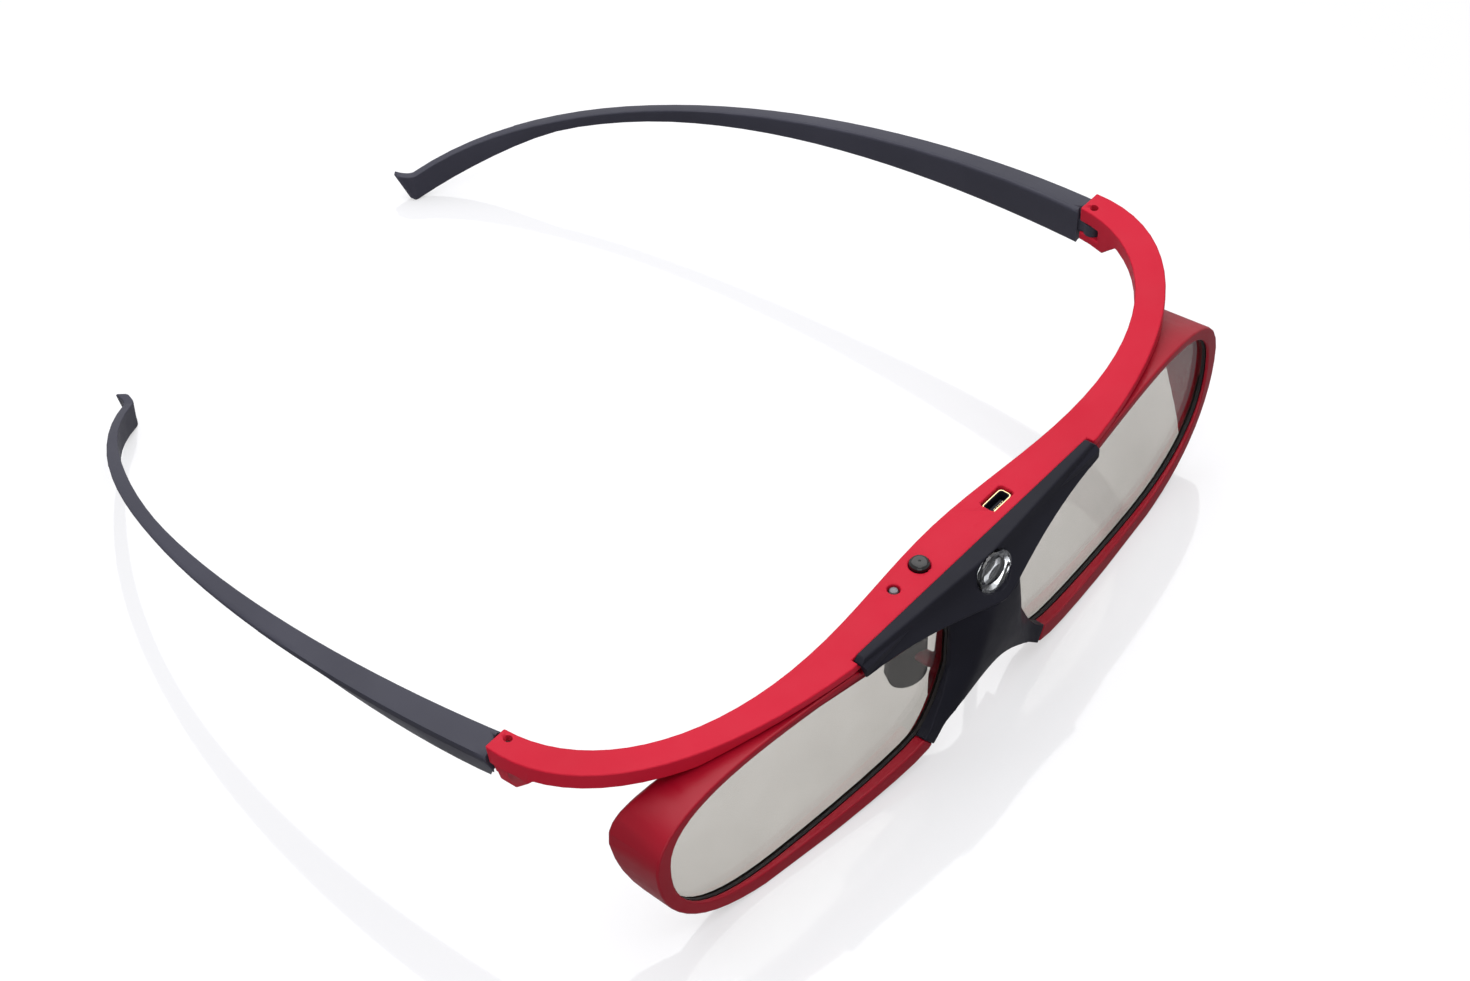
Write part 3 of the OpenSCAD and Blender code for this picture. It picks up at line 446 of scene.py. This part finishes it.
# the liner's thin wall lies over the shell's inner walls: a dark sheet that paints the shade inside the socket
bmesh.ops.inset_individual(bm, faces=[top], thickness=socket["wall"] * mm)
pulled(bm, top, -socket["floorDrop"], lid=True)
tongue = roundPlate(centre, socket["tongueWidth"], socket["tongueDepth"], socket["tongueCorner"],
                    socket["top"] - socket["floorDrop"] - socket["tongueSunk"])
pulled(tongue, tongue.faces[:][0], socket["tongueRise"])
spare = bpy.data.meshes.new("tongue")
tongue.to_mesh(spare)
tongue.free()
bm.from_mesh(spare)
bpy.data.meshes.remove(spare)
bmesh.ops.recalc_face_normals(bm, faces=bm.faces)
finishPiece(bm, "socketTongue", blackAbs, "frame", ["socket_tongue"], sharpAngle=40)

# infrared window: a clear oval with a rim, a dished ring and a faceted middle
window = dict(place=(0, -36.8, 32.3), lean=77, width=8.5, height=6.6, segments=32, thick=1.36, proud=0.18,
              rings=[dict(wide=0.45, rise=0.05), dict(wide=0.9, rise=-0.35), dict(wide=0.9, rise=0.3)])
bm = bmesh.new()
bmesh.ops.create_circle(bm, cap_ends=True, segments=window["segments"], radius=0.5)
bmesh.ops.scale(bm, vec=(window["width"] * mm, window["height"] * mm, 1), verts=bm.verts)
bmesh.ops.translate(bm, vec=(0, 0, -window["thick"] * mm), verts=bm.verts)
face = pulled(bm, bm.faces[:][0], window["thick"] + window["proud"])
for ring in window["rings"]:
    bmesh.ops.inset_individual(bm, faces=[face], thickness=ring["wide"] * mm, depth=ring["rise"] * mm)
bmesh.ops.recalc_face_normals(bm, faces=bm.faces)
x, y, z = window["place"]
tilted = Matrix.Translation((x * mm, y * mm + pinY, z * mm)) @ Matrix.Rotation(radians(window["lean"]), 4, "X")
bmesh.ops.transform(bm, matrix=tilted, verts=bm.verts)
finishPiece(bm, "irWindow", windowPc, "frame", ["ir_window"], sharpAngle=15)
print("socket and infrared window built")

nodeFinish = {
    "ir_receiver": blackAbs,
    "left_lens_gasket": softRubber, "right_lens_gasket": softRubber,
    "tact_switch": turnedSteel, "status_led": windowPc, "socket_contacts": goldPlate, "main_board": boardGreen,
    "battery": cellFoil, "battery_leads": redAbs, "left_lens_lead": leadFilm, "right_lens_lead": leadFilm,
    "housing_screws": turnedSteel, "left_hinge_pin": turnedSteel, "right_hinge_pin": turnedSteel,
}
for name, material in nodeFinish.items():
    nodes[name].data.materials.clear()
    nodes[name].data.materials.append(material)
print("node finishes set")

# camera at the photograph's view
view = dict(azimuth=-53.27, elevation=44.68, roll=1.37, place=(-0.5498, -0.3939 + pinY, 0.6963), lens=140.34,
            sensor=36.0, nearest=0.05, farthest=20.0)
a, e, r = (radians(view[k]) for k in ("azimuth", "elevation", "roll"))
back = Vector((sin(a) * cos(e), -cos(a) * cos(e), sin(e)))
side = Vector((cos(a), sin(a), 0))
upward = back.cross(side)
right, up = cos(r) * side + sin(r) * upward, -sin(r) * side + cos(r) * upward
camera = bpy.data.objects.new("camera", bpy.data.cameras.new("camera"))
camera.data.lens, camera.data.sensor_width, camera.data.sensor_fit = view["lens"], view["sensor"], "HORIZONTAL"
camera.data.clip_start, camera.data.clip_end = view["nearest"], view["farthest"]
camera.matrix_world = Matrix((right, up, back)).transposed().to_4x4()
camera.location = view["place"]
scene.collection.objects.link(camera)
scene.camera = camera


# 1 for what the camera sees, straight or through a clear piece
def seenDirectly(tree, path):
    return addNode(tree, "ShaderNodeMath", {
        0: (path, "Is Camera Ray"), 1: (path, "Is Transmission Ray")}, operation="MAXIMUM")


# glossy white table that fades into the white background for the camera, but keeps the shadow
stage = dict(half=2.5, drop=-0.0001, seenTint="#EDEDF3", tint="#808084", shade=0.55, gloss=0.06, ior=1.8)
bm = bmesh.new()
bmesh.ops.create_grid(bm, x_segments=1, y_segments=1, size=stage["half"])
bmesh.ops.translate(bm, verts=bm.verts, vec=(0, 0, stage["drop"]))
floorMesh = bpy.data.meshes.new("table")
bm.to_mesh(floorMesh)
bm.free()
table = bpy.data.objects.new("table", floorMesh)
scene.collection.objects.link(table)
floorMat, tree = newMaterial("whiteAcrylicSheet")
path = addNode(tree, "ShaderNodeLightPath")
seen = seenDirectly(tree, path)
sheet = addNode(tree, "ShaderNodeMix", {
    0: (seen, "Value"), 6: toLinear(stage["tint"]), 7: toLinear(stage["seenTint"])}, data_type="RGBA")
skin = addNode(tree, "ShaderNodeBsdfPrincipled", {
    "Base Color": (sheet, 2), "Roughness": stage["gloss"], "IOR": stage["ior"]})
white = addNode(tree, "ShaderNodeEmission", {"Color": (1, 1, 1, 1), "Strength": 1.0})
part = addNode(tree, "ShaderNodeMath", {0: (seen, "Value"), 1: stage["shade"]}, operation="MULTIPLY")
mixed = addNode(tree, "ShaderNodeMixShader", {0: (part, "Value"), 1: (skin, "BSDF"), 2: (white, "Emission")})
addNode(tree, "ShaderNodeOutputMaterial", {"Surface": (mixed, "Shader")})
floorMesh.materials.append(floorMat)

# white surroundings: full strength where seen or mirrored, weak as light
studio = dict(light=0.12, shown=1.0)
world = bpy.data.worlds.new("studio")
scene.world = world
world.use_nodes = True
tree = world.node_tree
tree.nodes.clear()
path = addNode(tree, "ShaderNodeLightPath")
shown = addNode(tree, "ShaderNodeMath", {
    0: (seenDirectly(tree, path), "Value"), 1: (path, "Is Glossy Ray")}, operation="MAXIMUM")
soft = addNode(tree, "ShaderNodeBackground", {"Color": (1, 1, 1, 1), "Strength": studio["light"]})
clean = addNode(tree, "ShaderNodeBackground", {"Color": (1, 1, 1, 1), "Strength": studio["shown"]})
mixed = addNode(tree, "ShaderNodeMixShader", {
    0: (shown, "Value"), 1: (soft, "Background"), 2: (clean, "Background")})
addNode(tree, "ShaderNodeOutputWorld", {"Surface": (mixed, "Shader")})

lamps = {
    "topBox": dict(place=(0.05, 0.15, 0.9), aim=(0, 0, 0.02), size=1.6, power=17.0),
    "frontFill": dict(place=(-0.8, -0.7, 0.4), aim=(0, 0, 0.02), size=0.8, power=3.4),
}
for name, look in lamps.items():
    lamp = bpy.data.objects.new(name, bpy.data.lights.new(name, "AREA"))
    lamp.data.shape, lamp.data.size, lamp.data.energy = "SQUARE", look["size"], look["power"]
    lamp.location = look["place"]
    lamp.rotation_euler = (Vector(look["aim"]) - Vector(look["place"])).to_track_quat("-Z", "Y").to_euler()
    scene.collection.objects.link(lamp)
scene.view_settings.view_transform = "Standard"
print("stage and lamps set")
